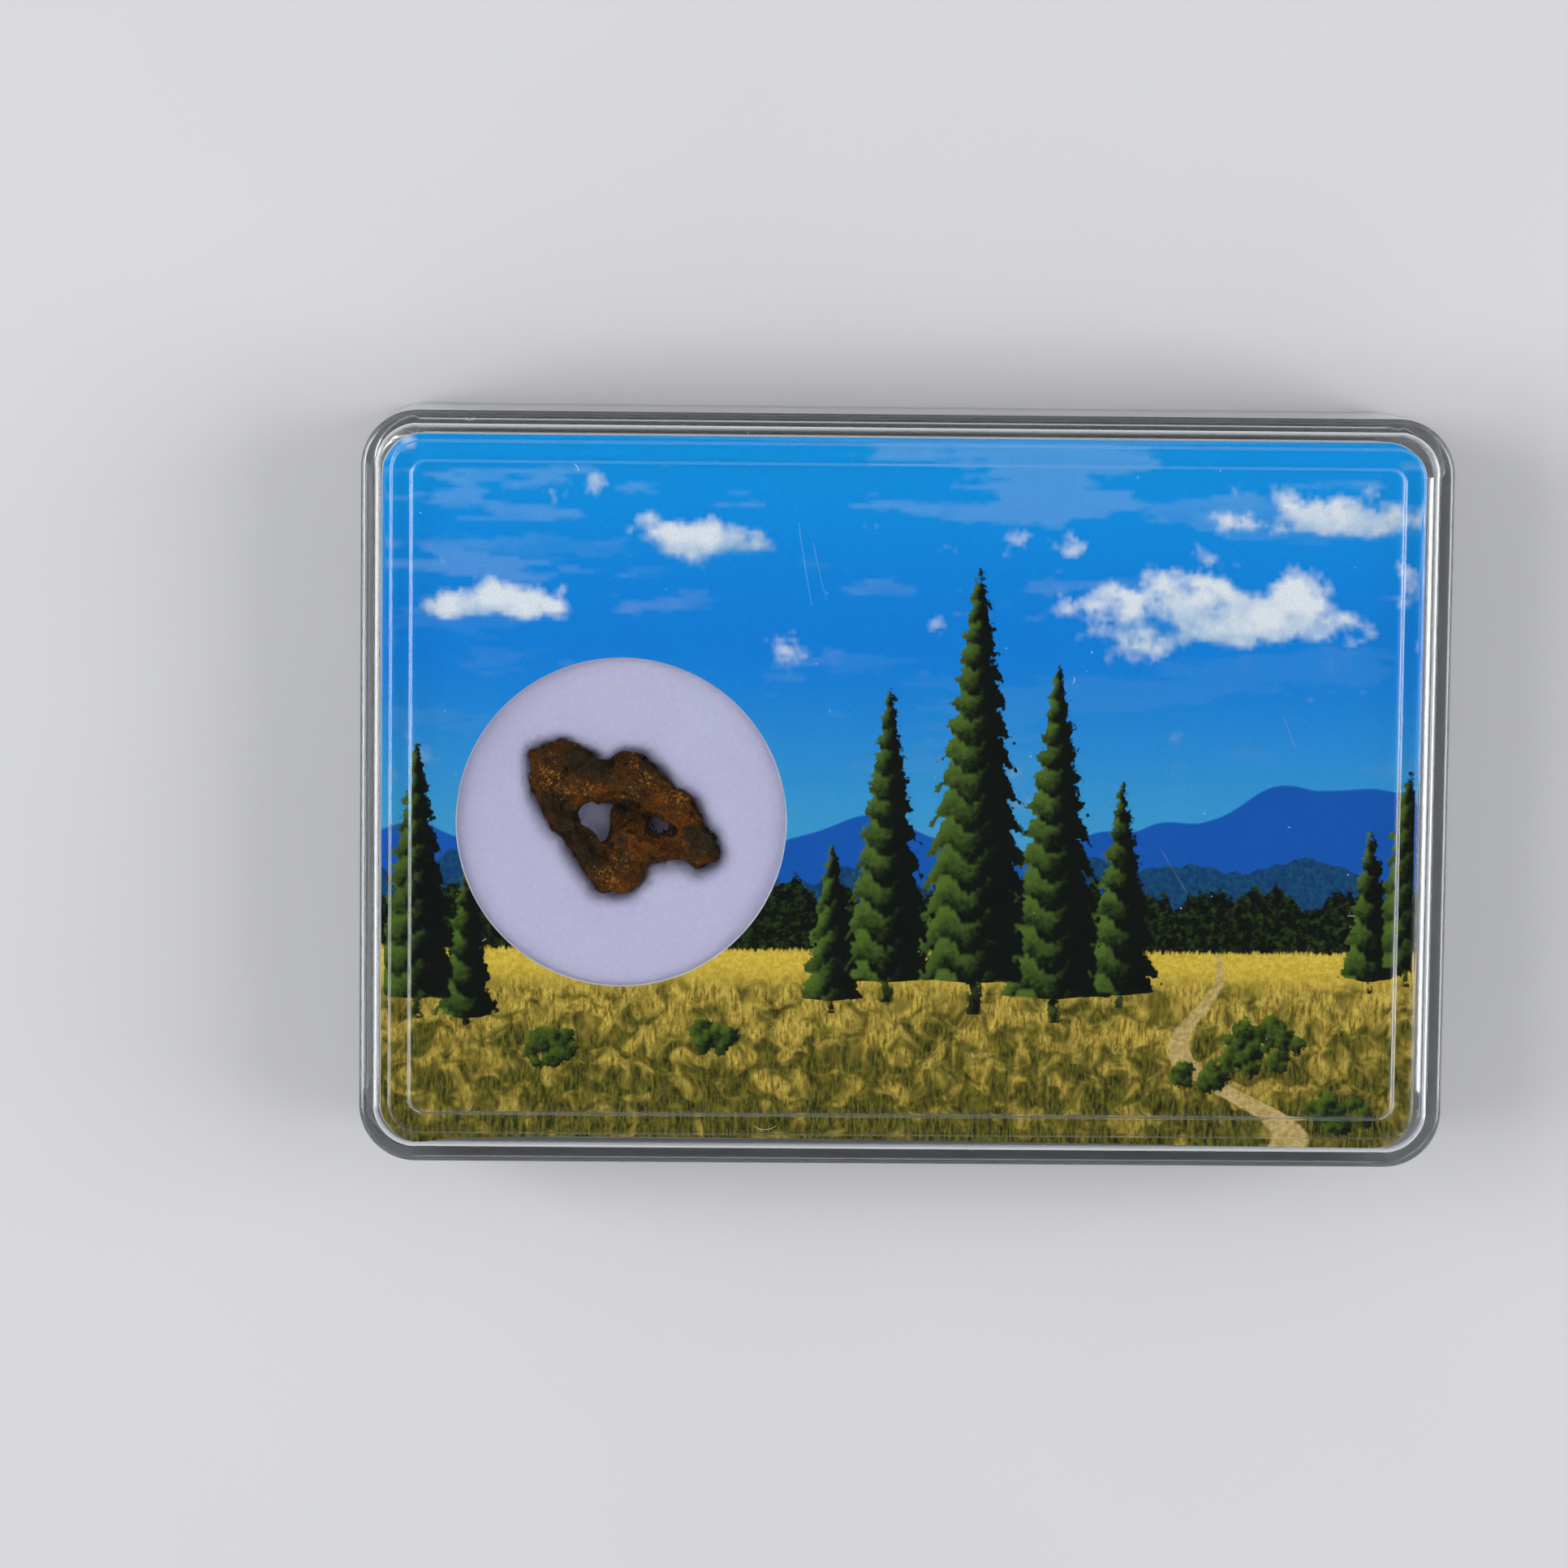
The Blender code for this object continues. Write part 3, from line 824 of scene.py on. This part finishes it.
# Stretches of the iron as (x, y, radius) in millimetres from its middle
DARK_STRETCHES = [
    (-3.2, 4.9, 1.3), (-1.6, 4.4, 1.1), (-4.9, 1.6, 1.0), (-3.9, 0.2, 1.2), (-2.9, -1.2, 1.2),
    (-2.3, -2.6, 1.0), (6.3, -1.2, 1.3), (5.4, -0.7, 0.8), (2.2, 4.9, 0.8), (0.4, 1.5, 0.7),
]
RUST_STRETCHES = [
    (4.6, 0.6, 1.4), (4.2, -0.8, 1.2), (-7.0, 4.6, 0.8), (-3.0, 1.9, 0.9), (-1.7, 2.6, 0.7),
    (-0.2, -5.0, 1.2), (2.8, 1.8, 0.9), (1.6, -1.4, 1.2),
]
OCHRE_STRETCHES = [
    (-5.4, 3.8, 1.3), (-4.0, 2.7, 1.0), (0.9, 4.9, 0.9), (2.0, 3.6, 1.0), (4.2, 2.2, 1.0),
    (-0.9, -4.0, 1.2), (0.3, -2.6, 0.8), (-2.6, 2.6, 0.7), (0.8, 2.4, 0.8),
]


def stretch_field(places, stretches):
    """1 well inside one of the stretches, and 0 from a little way outside them."""
    away = np.full(len(places), 9.0)
    for x, y, radius in stretches:
        gap = np.hypot(places[:, 0] - SPECIMEN.x / MM - x, places[:, 1] - SPECIMEN.y / MM - y)
        away = np.minimum(away, gap / radius)
    return np.clip(1.3 - away, 0.0, 1.0)


def build_meteorite(surface):
    """The fragment, with its kinds of surface kept at its vertices."""
    mesh = specimen_mesh()
    places = vertex_places(mesh) / MM
    add_attribute(mesh, "dark", stretch_field(places, DARK_STRETCHES))
    add_attribute(mesh, "rust", stretch_field(places, RUST_STRETCHES))
    add_attribute(mesh, "ochre", stretch_field(places, OCHRE_STRETCHES))
    return finished(piece("meteorite_iron", mesh, surface), "iron", "meteorite")


def rusty_iron():
    """Brown iron under orange rust, dark where it is bare, with ochre flecks on its rims, and painted shade
    darkening its hollows and pits.
    """
    made, tree, shader = new_material("rusty_iron", IOR=1.2)
    _, place = place_in_mm(tree)
    blotch = noise_field(tree, place, 1.7, 4.0, 0.7, 0.4) - 0.5
    speck = noise_field(tree, place, 5.0, 3.0, 0.75) - 0.5
    dark = attribute_field(tree, "dark")
    rust = attribute_field(tree, "rust")
    ochre = attribute_field(tree, "ochre")
    rim = attribute_field(tree, "scoop").step(0.3, 0.02)

    tone = blotch + speck + rust * 0.14 - dark * 0.16
    colour = mixed(tree, tone.step(-0.24, 0.02), *IRON_TONES)
    orange = mixed(tree, speck.step(-0.12, 0.16), *RUST_TONES)
    colour = mixed(tree, tone.step(0.04, 0.2), colour, orange)
    bare = mixed(tree, speck.step(-0.1, 0.18), *BARE_TONES)
    colour = mixed(tree, (dark + blotch * 0.9).step(0.2, 0.7) * 0.85, colour, bare)
    fleck = (speck * 1.2 + blotch * 0.3 + rim * 0.02 + ochre * 0.14).step(0.18, 0.28)
    colour = mixed(tree, fleck * 0.75, colour, FLECK_TONE)
    # Painted shade: the colour goes near-black where the iron is shut in by its own hollows and deep in its
    # pits
    shut = attribute_field(tree, "shut").step(0.06, 0.4)
    pit = attribute_field(tree, "pit").step(0.08, 0.2)
    colour = mixed(tree, (shut + pit * 0.6).clamped() * 0.88, colour, PAINTED_HOLLOW_SHADE)
    tree.links.new(colour, shader.inputs["Base Color"])
    feed(tree, shader.inputs["Roughness"], (speck * 0.6 - dark * 0.15 + 0.6).clamped())
    bumped(tree, shader, speck, 0.06, 0.8)
    return made


# Pad

PAD_PITCH = 0.42 * MM
PAD_EDGE_ROUND = 1.4 * MM
FLUFF_WIDTH = 1.5 * MM
BILLOW_WIDTH = 8.0 * MM
# A wide shallow bowl round the specimen, its holes sunk deeper, and a steep rise close beside the iron
PRESS_DEPTH = 0.9 * MM
PRESS_REACH = 5.0 * MM
PRESS_CURVE = 1.6
RISE_STEPS = 4
RISE_SLOPE = 3.0
HOLE_DEPTH = 3.2 * MM
HOLE_SLOPE_STEPS = 4
PRESS_PITCH = 0.2 * MM
PRESS_MARGIN = 9 * MM
CLEAR_OF_IRON = 0.12 * MM
NOTHING_ABOVE = 1.0
WADDING_TONES = (0.58, 0.565, 0.8), (0.655, 0.64, 0.875)
WADDING_SHADE = (0.6, 0.575, 0.75)


def underside_map(tree):
    """(x places, y places, height): the specimen's underside on a grid, or NOTHING_ABOVE."""
    xs = np.arange(SPECIMEN_LOW[0] - PRESS_MARGIN, SPECIMEN_HIGH[0] + PRESS_MARGIN, PRESS_PITCH)
    ys = np.arange(SPECIMEN_LOW[1] - PRESS_MARGIN, SPECIMEN_HIGH[1] + PRESS_MARGIN, PRESS_PITCH)
    heights = np.full((len(xs), len(ys)), NOTHING_ABOVE)
    for i, x in enumerate(xs):
        for j, y in enumerate(ys):
            hit = tree.ray_cast(Vector((x, y, 0.0)), Vector((0, 0, 1)))
            if hit[0]:
                heights[i, j] = hit[0].z
    return xs, ys, heights


def widened(mask):
    """The mask grown by one place of the grid on each side."""
    grown = mask.copy()
    for axis in (0, 1):
        grown |= np.roll(mask, 1, axis) | np.roll(mask, -1, axis)
    return grown


def sinking(under_iron):
    """1 in the specimen's own holes, which the pad doesn't fill, down to 0 under the iron beside them."""
    outside = np.zeros(under_iron.shape, bool)
    outside[[0, -1], :] = True
    outside[:, [0, -1]] = True
    for _ in range(sum(under_iron.shape)):
        outside = widened(outside) & ~under_iron
    holes = ~(outside | under_iron)
    layers = [holes]
    for _ in range(HOLE_SLOPE_STEPS):
        layers.append(widened(layers[-1]))
    return np.mean(layers, axis=0)


def pressed_surface(meteorite):
    """(height of the wadding, distance from the iron) as functions of (x, y)."""
    graph = bpy.context.evaluated_depsgraph_get()
    xs, ys, heights = underside_map(BVHTree.FromObject(meteorite, graph))
    grid = np.stack(np.meshgrid(xs, ys, indexing="ij"), axis=-1)
    under_iron = heights < NOTHING_ABOVE
    away = np.full(heights.shape, NOTHING_ABOVE)
    for x, y in grid[under_iron]:
        away = np.minimum(away, np.hypot(grid[..., 0] - x, grid[..., 1] - y))
    soft = PAD_HIGH[2] - PRESS_DEPTH * np.exp(-((away / PRESS_REACH) ** PRESS_CURVE))
    soft -= HOLE_DEPTH * sinking(under_iron)
    close = heights - CLEAR_OF_IRON
    pressed = close.copy()
    for i in range(-RISE_STEPS, RISE_STEPS + 1):
        for j in range(-RISE_STEPS, RISE_STEPS + 1):
            rise = RISE_SLOPE * PRESS_PITCH * max(0.0, math.hypot(i, j) - 1.0)
            pressed = np.minimum(pressed, np.roll(np.roll(close, i, 0), j, 1) + rise)
    height = np.minimum(soft, pressed)

    def lookup(values, x, y):
        """The grid's value at any point, from the four places round it."""
        i = np.clip((x - xs[0]) / PRESS_PITCH, 0, len(xs) - 1.001)
        j = np.clip((y - ys[0]) / PRESS_PITCH, 0, len(ys) - 1.001)
        low_i = i.astype(int)
        low_j = j.astype(int)
        part_i = i - low_i
        part_j = j - low_j
        first = values[low_i, low_j] * (1 - part_j) + values[low_i, low_j + 1] * part_j
        second = values[low_i + 1, low_j] * (1 - part_j) + values[low_i + 1, low_j + 1] * part_j
        return first * (1 - part_i) + second * part_i

    return (lambda x, y: lookup(height, x, y)), (lambda x, y: lookup(away, x, y))


def pad_shell():
    """A soft-edged block in the pad's place, as a fine even net."""
    work = bmesh.new()
    bmesh.ops.create_cube(work, size=1.0)
    size = Vector(PAD_HIGH) - Vector(PAD_LOW)
    middle = (Vector(PAD_HIGH) + Vector(PAD_LOW)) / 2
    place = Matrix.Translation(middle) @ Matrix.Diagonal((*size, 1.0))
    bmesh.ops.transform(work, matrix=place, verts=work.verts)
    bmesh.ops.bevel(
        work,
        geom=work.edges[:],
        offset=PAD_EDGE_ROUND,
        segments=4,
        profile=0.5,
        affect="EDGES",
        clamp_overlap=True,
    )
    mesh = bpy.data.meshes.new("pad")
    work.to_mesh(mesh)
    work.free()
    block = piece("pad_block", mesh)
    fine = block.modifiers.new("fine net", "REMESH")
    fine.mode = "VOXEL"
    fine.voxel_size = PAD_PITCH
    return applied(block)


def build_pad(surface, pressed_at):
    """White wadding: fluffy on top, sunk round the specimen, and swollen a little between its corners."""
    mesh = pad_shell()
    places = vertex_places(mesh)
    normals = vertex_normals(mesh)
    fluff = np.array([noise.fractal(Vector(place / FLUFF_WIDTH), 0.6, 2.2, 4) for place in places])
    billow = np.array([noise.noise(Vector(place / BILLOW_WIDTH)) for place in places])
    swell = np.clip(fluff * 0.05 + billow * 0.1 - 0.13, -0.5, 0.0)
    places += normals * swell[:, None] * MM
    upper = places[:, 2] > (PAD_LOW[2] + PAD_HIGH[2]) / 2
    sunk = pressed_at(places[:, 0], places[:, 1]) + (fluff * 0.04 - 0.05) * MM
    places[upper, 2] = np.minimum(places[upper, 2], sunk[upper])
    set_places(mesh, places)
    mesh.shade_smooth()
    pad = finished(piece("white_pad", mesh, surface), "pad", "pad")
    return pad


def thread_mesh(name, paths, radius):
    """Three-sided threads along the paths, an array of (thread, point, xyz), as one mesh."""
    count, length, _ = paths.shape
    along = np.gradient(paths, axis=1)
    along /= np.linalg.norm(along, axis=2, keepdims=True)
    side = np.cross(along, (0.0, 0.0, 1.0))
    side /= np.linalg.norm(side, axis=2, keepdims=True) + 1e-12
    rise = np.cross(side, along)
    rings = []
    for corner in range(3):
        turn = 2 * math.pi * corner / 3
        rings.append(paths + radius * (math.cos(turn) * side + math.sin(turn) * rise))
    points = np.stack(rings, axis=2).reshape(-1, 3)
    faces = []
    for thread in range(count):
        first = thread * length * 3
        for step in range(length - 1):
            low = first + step * 3
            for corner in range(3):
                after = (corner + 1) % 3
                faces.append((low + corner, low + 3 + corner, low + 3 + after, low + after))
        last = first + (length - 1) * 3
        faces.append((first, first + 1, first + 2))
        faces.append((last + 2, last + 1, last))
    mesh = bpy.data.meshes.new(name)
    mesh.from_pydata(points.tolist(), [], faces)
    mesh.validate()
    mesh.shade_smooth()
    return mesh


HAIRS = 1500
TRIES_PER_HAIR = 20
HAIR_SEED = 8
HAIR_REACH = 0.5 * MM
HAIR_POINTS = 7
HAIR_RADIUS = 0.008 * MM


def build_hairs(surface, pressed_at, away_at):
    """Short hairs of wadding that stand up and curl over where it meets the iron."""
    random = np.random.default_rng(HAIR_SEED)
    tries = TRIES_PER_HAIR * HAIRS
    x = random.uniform(SPECIMEN_LOW[0] - HAIR_REACH, SPECIMEN_HIGH[0] + HAIR_REACH, tries)
    y = random.uniform(SPECIMEN_LOW[1] - HAIR_REACH, SPECIMEN_HIGH[1] + HAIR_REACH, tries)
    gap = away_at(x, y)
    near_iron = np.nonzero((gap > 0) & (gap < HAIR_REACH))[0][:HAIRS]
    x = x[near_iron]
    y = y[near_iron]
    count = len(near_iron)
    heading = random.uniform(0, 2 * math.pi, count)
    bend = random.normal(0, 0.35, count)
    stride = random.uniform(0.06, 0.2, count) * MM
    lift = random.uniform(0.2, 1.1, count) * MM
    ways = np.zeros((count, HAIR_POINTS, 3))
    for step in range(HAIR_POINTS):
        arch = math.sin(math.pi * step / (HAIR_POINTS - 1))
        height = np.minimum(pressed_at(x, y) + lift * arch, CARD_LOW[2])
        ways[:, step] = np.stack([x, y, height], axis=1)
        x = x + stride * np.cos(heading)
        y = y + stride * np.sin(heading)
        heading = heading + bend
    return finished(piece("pad_hairs", thread_mesh("hairs", ways, HAIR_RADIUS), surface), "pad")


def white_wadding():
    """Fluffy white wadding with a cool tint, a little uneven."""
    made, tree, shader = new_material(
        "white_wadding", Roughness=0.95, Specular_IOR_Level=0.2, Sheen_Weight=0.25, Sheen_Roughness=0.5
    )
    _, place = place_in_mm(tree)
    soft = noise_field(tree, place, 0.25, 2.0, 0.5)
    fluff = noise_field(tree, place, 3.2, 4.0, 0.8, 0.8)
    colour = mixed(tree, fluff.step(0.3, 0.7), *WADDING_TONES)
    colour = mixed(tree, soft * 0.3, colour, WADDING_SHADE)
    tree.links.new(colour, shader.inputs["Base Color"])
    bumped(tree, shader, fluff, 0.12, 0.5)
    return made


# Dust and scuffs on the lid

# In millimetres from the box's middle, with angles in degrees. Lint and scratches are
# (x, y, length, heading, bend), and scuffs (x, y, radius, first angle, last angle).
LINT = [
    (-32.0, -11.6, 0.45, 10, 50),
    (-25.2, 24.6, 0.7, -35, -70),
    (12.6, 8.4, 0.5, 60, 40),
    (33.8, -9.2, 0.7, 10, -35),
    (5.4, -20.3, 0.5, 80, 60),
]
SCUFFS = [(-33.1, 28.15, 0.34, 190, 350), (-10.4, -24.4, 1.5, 235, 305)]
SCRATCHES = [
    (-8.3, 20.4, 7.2, -82, 4),
    (-7.2, 18.9, 5.1, -78, 4),
    (19.5, -4.2, 4.4, -60, 4),
    (28.6, 6.1, 3.2, -70, 4),
]
DUST_SEED = 17
SPECKS = 46
SPECK_MARGIN = 1 * MM
SPECK_RADII = (0.03 * MM, 0.075 * MM)
LINT_RADIUS = 0.02 * MM
SCRATCH_RADIUS = 0.004 * MM
LINT_POINTS = 9


def lid_way(x, y, length, heading, bend):
    """A path along the lid's plane from (x, y), curving by bend in degrees on its way."""
    way = []
    for step in range(LINT_POINTS):
        way.append((x * MM, y * MM, LID_PLANE))
        angle = math.radians(heading + bend * step / LINT_POINTS)
        x += length / LINT_POINTS * math.cos(angle)
        y += length / LINT_POINTS * math.sin(angle)
    return way


def scuff_way(x, y, radius, first, last):
    """A path along the lid's plane round an arc."""
    angles = np.radians(np.linspace(first, last, LINT_POINTS))
    return [((x + radius * math.cos(a)) * MM, (y + radius * math.sin(a)) * MM, LID_PLANE) for a in angles]


def build_dust(surface):
    """Specks, lint, hairline scratches and two small scuffs, all on the lid's plane."""
    random = np.random.default_rng(DUST_SEED)
    work = bmesh.new()
    for _ in range(SPECKS):
        x = random.uniform(-LENGTH / 2 + SPECK_MARGIN, LENGTH / 2 - SPECK_MARGIN)
        y = random.uniform(-WIDTH / 2 + SPECK_MARGIN, WIDTH / 2 - SPECK_MARGIN)
        size = random.uniform(*SPECK_RADII) * random.uniform(0.6, 1.0, 3)
        inset = min(LENGTH / 2 - abs(x), WIDTH / 2 - abs(y))
        if RIDGE_OUTER_INSET < inset < RIDGE_INNER_INSET:
            continue
        place = Matrix.Translation((x, y, LID_PLANE)) @ Matrix.Diagonal((*size, 1.0))
        bmesh.ops.create_icosphere(work, subdivisions=1, radius=1.0, matrix=place)
    lint = [lid_way(*way) for way in LINT]
    scratches = [lid_way(*way) for way in SCRATCHES]
    scuffs = [scuff_way(*way) for way in SCUFFS]
    for ways, radius in ((lint + scuffs, LINT_RADIUS), (scratches, SCRATCH_RADIUS)):
        threads = thread_mesh("threads", np.array(ways), radius)
        work.from_mesh(threads)
        bpy.data.meshes.remove(threads)
    mesh = bpy.data.meshes.new("dust")
    work.to_mesh(mesh)
    work.free()
    mesh.shade_smooth()
    return finished(piece("lid_dust", mesh, surface), "pad")


def pale_dust():
    """Pale grey dust and lint."""
    made, tree, shader = new_material("pale_dust", Roughness=0.9, Specular_IOR_Level=0.2)
    _, place = place_in_mm(tree)
    tint = noise_field(tree, place, 0.4, 1.0)
    tree.links.new(mixed(tree, tint, (0.5, 0.52, 0.5), (0.8, 0.82, 0.84)), shader.inputs["Base Color"])
    return made


# Studio

FLOOR_REACH = 2.0
FLOOR_TONES = (0.4, 0.4, 0.405), (0.43, 0.43, 0.435)
# A soft box is (name, place in metres, size, watts)
SOFT_BOXES = [
    ("left_softbox", (-0.58, 0.05, 0.52), (0.5, 0.7), 6.2),
    ("right_softbox", (0.58, 0.0, 0.52), (0.5, 0.7), 5.0),
]
SKY_AROUND = (0.66, 0.67, 0.7)
SKY_OVERHEAD = (0.02, 0.02, 0.022)


def camera_axes():
    """(right, up, back) of the camera in the box's frame. It leans to the box's top and left edges."""
    back = Vector((-math.sin(LEAN_TO_LEFT), math.sin(LEAN_TO_TOP), math.cos(LEAN_TO_TOP))).normalized()
    right = Vector((0, 1, 0)).cross(back).normalized()
    up = back.cross(right)
    return (
        math.cos(ROLL) * right + math.sin(ROLL) * up,
        math.cos(ROLL) * up - math.sin(ROLL) * right,
        back,
    )


def add_camera():
    """A long lens at the photograph's distance, placed so that the lid's middle falls on its pixel."""
    right, up, back = camera_axes()
    focal_px = LID_PX_PER_MM * CAMERA_DISTANCE / MM
    across = (BOX_MIDDLE_PX[0] - IMAGE / 2) / focal_px * CAMERA_DISTANCE
    down = (BOX_MIDDLE_PX[1] - IMAGE / 2) / focal_px * CAMERA_DISTANCE
    lid_middle = Vector((0, 0, LID_PLANE))
    data = bpy.data.cameras.new("camera")
    data.sensor_width = SENSOR_MM
    data.lens = focal_px / IMAGE * SENSOR_MM
    data.clip_start = 0.01
    camera = bpy.data.objects.new("camera", data)
    camera.location = lid_middle + back * CAMERA_DISTANCE - right * across + up * down
    camera.rotation_euler = Matrix((right, up, back)).transposed().to_euler()
    bpy.context.scene.collection.objects.link(camera)
    bpy.context.scene.camera = camera


def add_light(name, place, size, watts):
    """A soft box that faces the middle of the box."""
    data = bpy.data.lights.new(name, "AREA")
    data.shape = "RECTANGLE"
    data.size, data.size_y = size
    data.energy = watts
    light = bpy.data.objects.new(name, data)
    light.location = place
    light.rotation_euler = (Vector(place) - Vector((0, 0, TOP))).to_track_quat("Z", "Y").to_euler()
    bpy.context.scene.collection.objects.link(light)


def add_studio():
    """A pale floor, a soft light on either side, and a sky that is dim right above."""
    mesh = bpy.data.meshes.new("floor")
    reach = FLOOR_REACH
    corners = [(-reach, -reach, 0), (reach, -reach, 0), (reach, reach, 0), (-reach, reach, 0)]
    mesh.from_pydata(corners, [], [(0, 1, 2, 3)])
    made, tree, shader = new_material("pale_floor", Roughness=0.6, Specular_IOR_Level=0.3)
    _, place = place_in_mm(tree)
    cast = noise_field(tree, place, 0.02, 2.0)
    tree.links.new(mixed(tree, cast, *FLOOR_TONES), shader.inputs["Base Color"])
    floor = piece("floor", mesh, made)

    for soft_box in SOFT_BOXES:
        add_light(*soft_box)

    world = bpy.data.worlds.new("studio")
    world.use_nodes = True
    tree = world.node_tree
    direction = tree.nodes.new("ShaderNodeTexCoord").outputs["Generated"]
    parts = tree.nodes.new("ShaderNodeSeparateXYZ")
    tree.links.new(direction, parts.inputs[0])
    overhead = Field(tree, parts.outputs["Z"]).step(0.91, 0.98)
    background = tree.nodes["Background"]
    tree.links.new(mixed(tree, overhead, SKY_AROUND, SKY_OVERHEAD), background.inputs["Color"])
    bpy.context.scene.world = world
    bpy.context.scene.view_settings.view_transform = "Standard"


def main():
    """Dresses the box and lights it."""
    flats = clear_plastic()
    walls = scuffed_plastic()
    build_lid(flats, walls)
    build_base(flats, walls)
    build_card(landscape_print(), card_paper())
    meteorite = build_meteorite(rusty_iron())
    bpy.context.view_layer.update()
    pressed_at, away_at = pressed_surface(meteorite)
    wadding = white_wadding()
    build_pad(wadding, pressed_at)
    build_hairs(wadding, pressed_at, away_at)
    build_dust(pale_dust())
    add_camera()
    add_studio()
    bpy.context.view_layer.update()


main()
